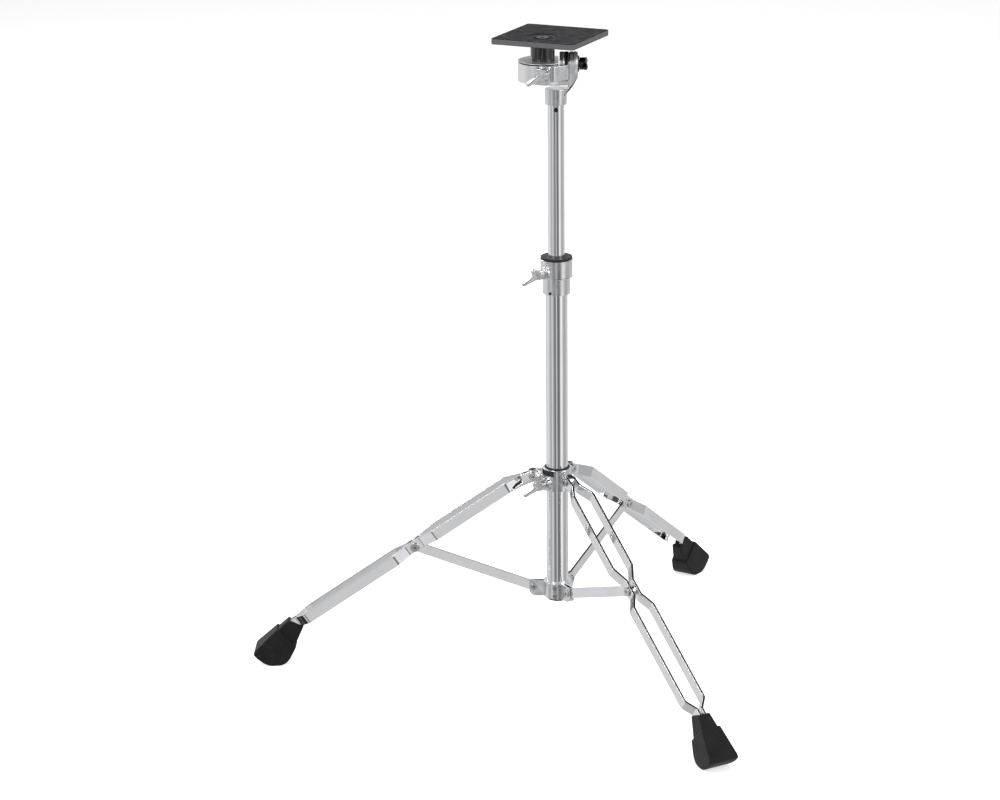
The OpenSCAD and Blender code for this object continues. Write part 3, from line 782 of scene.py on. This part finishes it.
# Brightness that the chrome reflects, by direction: degrees round from the camera's side, then grey
STUDIO_BANDS = [
    (-180, 0.72), (-128, 0.72), (-100, 0.84), (-80, 0.60), (-62, 0.38), (-50, 0.80), (-34, 0.42), (-20, 0.22),
    (-10, 0.12), (-7.5, 0.69), (2, 0.69), (5, 0.22), (16, 0.16), (30, 0.26), (42, 1.0), (56, 0.92),
    (70, 0.50), (90, 0.42), (112, 0.62), (150, 0.72),
]


# The bands fade up to a level grey above the horizon, and to a dark ceiling overhead; each is
# (grey, height where it starts, height where it is reached), heights as the sine of the elevation
STUDIO_RISE = ((0.8, 0.8, 0.81), 0.02, 0.25)
STUDIO_CEILING = ((0.03, 0.03, 0.032), 0.5, 0.72)


def make_world():
    world = bpy.data.worlds.new("studio")
    bpy.context.scene.world = world
    world.use_nodes = True
    nodes, links = world.node_tree.nodes, world.node_tree.links
    nodes.clear()

    def math_node(operation):
        node = nodes.new("ShaderNodeMath")
        node.operation = operation
        return node

    def map_range(value, start, end):
        node = nodes.new("ShaderNodeMapRange")
        node.inputs["From Min"].default_value = start
        node.inputs["From Max"].default_value = end
        links.new(value, node.inputs["Value"])
        return node.outputs["Result"]

    def blend(factor, below, colour):
        node = nodes.new("ShaderNodeMix")
        node.data_type = "RGBA"
        links.new(factor, node.inputs["Factor"])
        links.new(below, node.inputs[6])
        node.inputs[7].default_value = (*colour, 1)
        return node.outputs[2]

    coords = nodes.new("ShaderNodeTexCoord")
    split = nodes.new("ShaderNodeSeparateXYZ")
    links.new(coords.outputs["Generated"], split.inputs[0])
    angle, flip = math_node("ARCTAN2"), math_node("MULTIPLY")
    flip.inputs[1].default_value = -1
    links.new(split.outputs["Y"], flip.inputs[0])
    links.new(split.outputs["X"], angle.inputs[0])
    links.new(flip.outputs[0], angle.inputs[1])
    ramp = nodes.new("ShaderNodeValToRGB")
    elements = ramp.color_ramp.elements
    while len(elements) < len(STUDIO_BANDS):
        elements.new(0.5)
    for element, (degrees, grey) in zip(elements, STUDIO_BANDS):
        element.position = (degrees + 180) / 360
        element.color = (grey, grey, grey * 1.01, 1)
    links.new(map_range(angle.outputs[0], -math.pi, math.pi), ramp.inputs["Fac"])
    sky = ramp.outputs["Color"]
    for colour, start, end in (STUDIO_RISE, STUDIO_CEILING):
        sky = blend(map_range(split.outputs["Z"], start, end), sky, colour)
    sky = blend(nodes.new("ShaderNodeLightPath").outputs["Is Camera Ray"], sky, (1, 1, 1))
    back = nodes.new("ShaderNodeBackground")
    links.new(sky, back.inputs["Color"])
    links.new(back.outputs[0], nodes.new("ShaderNodeOutputWorld").inputs["Surface"])


def area_light(name, place, aim_z, size, power, in_chrome=True):
    """Square soft light pointed at the axis of the scene; in_chrome says if the chrome reflects it."""
    light = bpy.data.lights.new(name, "AREA")
    light.shape = "RECTANGLE"
    light.size = light.size_y = size
    light.energy = power
    obj = bpy.data.objects.new(name, light)
    bpy.context.scene.collection.objects.link(obj)
    obj.location = place
    obj.rotation_euler = (Vector((0, 0, aim_z)) - Vector(place)).to_track_quat("-Z", "Y").to_euler()
    obj.visible_glossy = in_chrome


# The camera looks down at the mast from the front; metres, degrees and a lens in mm
CAMERA_REACH = 3.2875
CAMERA_AIM_Z = 0.325
CAMERA_PITCH = 17.87
CAMERA_YAW = 1.2
CAMERA_ROLL = -0.56
CAMERA_LENS = 102.8


def make_camera():
    pitch, yaw = math.radians(CAMERA_PITCH), math.radians(CAMERA_YAW)
    ahead = Vector((0, math.cos(pitch), -math.sin(pitch)))
    place = Vector((MAST_X, 0, CAMERA_AIM_Z)) - CAMERA_REACH * ahead
    swing = Matrix.Rotation(yaw, 3, "Z")
    ahead, right = swing @ ahead, swing @ Vector((1, 0, 0))
    up = right.cross(ahead)
    roll = Matrix.Rotation(math.radians(-CAMERA_ROLL), 3, ahead)
    right, up = roll @ right, roll @ up
    data = bpy.data.cameras.new("camera")
    data.lens = CAMERA_LENS
    data.sensor_width = 36
    camera = bpy.data.objects.new("camera", data)
    bpy.context.scene.collection.objects.link(camera)
    camera.matrix_world = Matrix((
        (right.x, up.x, -ahead.x, place.x),
        (right.y, up.y, -ahead.y, place.y),
        (right.z, up.z, -ahead.z, place.z),
        (0, 0, 0, 1)))
    bpy.context.scene.camera = camera


make_floor()
make_world()
area_light("key", (-1.6, -1.8, 2.6), 0.35, 1.4, 45)
area_light("fill", (2.2, -1.2, 1.9), 0.35, 1.6, 26)
area_light("top", (0.2, 0.6, 3.0), 0.2, 2.4, 45, in_chrome=False)
area_light("rim", (-1.7, 2.2, 2.3), 0.2, 1.2, 34)
make_camera()
bpy.context.scene.view_settings.view_transform = "Standard"
